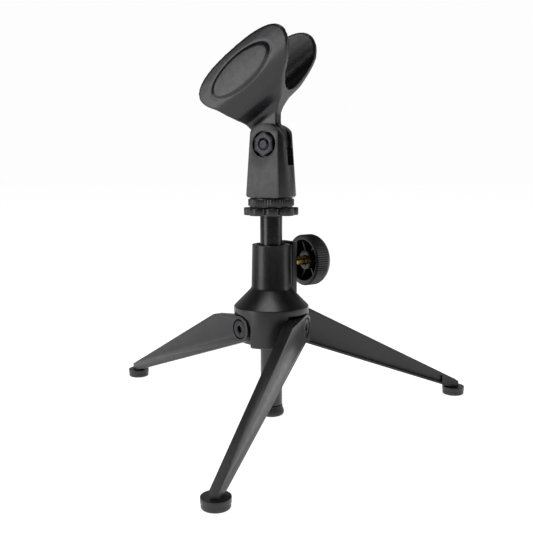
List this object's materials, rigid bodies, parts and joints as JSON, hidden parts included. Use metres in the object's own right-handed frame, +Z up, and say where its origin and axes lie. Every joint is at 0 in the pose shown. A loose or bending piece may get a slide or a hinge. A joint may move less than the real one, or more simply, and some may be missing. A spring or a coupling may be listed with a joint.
{
  "type": "desktop microphone stand",
  "caption": "Folding tripod desk stand for a microphone: legs on pivots, a sliding clamped tube, and a swivel with a tilting open clip.",
  "frame": {"origin": "on the tube's axis, on the surface that the stand rests on", "axes": "+Z up along the tube; -Y is the side the stand was first looked at from, +X to its right"},
  "size_m": [0.1755, 0.1698, 0.1726],
  "materials": {
    "satin_black_plastic": "satin moulded",
    "clip_black_plastic": "fine matt moulded",
    "black_painted_steel": "satin powder coat",
    "black_rubber": "matt",
    "brass": "turned",
    "blackened_steel": "black oxide",
    "zinc_plated_steel": "zinc plated",
    "nylon": "moulded"
  },
  "bodies": {
    "base": {"hub": "satin_black_plastic", "clamp_bushing": "nylon", "clamp_bush": "brass", "leg_insert_front": "brass", "leg_screw_front": "blackened_steel", "leg_washer_front": "blackened_steel", "leg_insert_left": "brass", "leg_screw_left": "blackened_steel", "leg_washer_left": "blackened_steel", "leg_insert_right": "brass", "leg_screw_right": "blackened_steel", "leg_washer_right": "blackened_steel"},
    "column": {"tube": "black_painted_steel", "tube_end_cap": "black_rubber", "star_disc": "satin_black_plastic", "thread_stud": "zinc_plated_steel"},
    "lock_ring": {"lock_ring": "satin_black_plastic"},
    "swivel": {"swivel_base": "satin_black_plastic", "thread_insert": "brass", "swivel_bolt": "blackened_steel", "swivel_nut": "blackened_steel"},
    "clip": {"mic_clip": "clip_black_plastic"},
    "knob": {"clamp_knob": "satin_black_plastic", "clamp_screw": "brass"},
    "leg_front": {"leg_front": "satin_black_plastic", "foot_pad_front": "black_rubber"},
    "leg_left": {"leg_left": "satin_black_plastic", "foot_pad_left": "black_rubber"},
    "leg_right": {"leg_right": "satin_black_plastic", "foot_pad_right": "black_rubber"}
  },
  "joints": [
    {"name": "tube_slide", "type": "slide", "parent": "base", "child": "column", "axis": [0, 0, 1], "range_m": [0, 0.031]},
    {"name": "clamp_knob_turn", "type": "hinge", "parent": "base", "child": "knob", "pos_m": [0, 0, 0.0707], "axis": [0.8192, 0.5736, 0], "range_deg": [-180, 180]},
    {"name": "lock_ring_turn", "type": "hinge", "parent": "column", "child": "lock_ring", "pos_m": [0, 0, 0.098], "axis": [0, 0, 1], "range_deg": [-180, 180]},
    {"name": "swivel_turn", "type": "hinge", "parent": "column", "child": "swivel", "pos_m": [0, 0, 0.11], "axis": [0, 0, 1], "range_deg": [-180, 180]},
    {"name": "clip_tilt", "type": "hinge", "parent": "swivel", "child": "clip", "pos_m": [0, 0, 0.1237], "axis": [0.5, 0.866, 0], "range_deg": [-60, 70]},
    {"name": "leg_front_fold", "type": "hinge", "parent": "base", "child": "leg_front", "pos_m": [-0.00051, -0.00141, 0.0424], "axis": [0.9412, -0.3379, 0], "range_deg": [0, 66]},
    {"name": "leg_left_fold", "type": "hinge", "parent": "base", "child": "leg_left", "pos_m": [-0.00097, 0.00114, 0.0424], "axis": [-0.7632, -0.6461, 0], "range_deg": [0, 66]},
    {"name": "leg_right_fold", "type": "hinge", "parent": "base", "child": "leg_right", "pos_m": [0.00148, 0.00027, 0.0424], "axis": [-0.1779, 0.984, 0], "range_deg": [0, 66]}
  ]
}
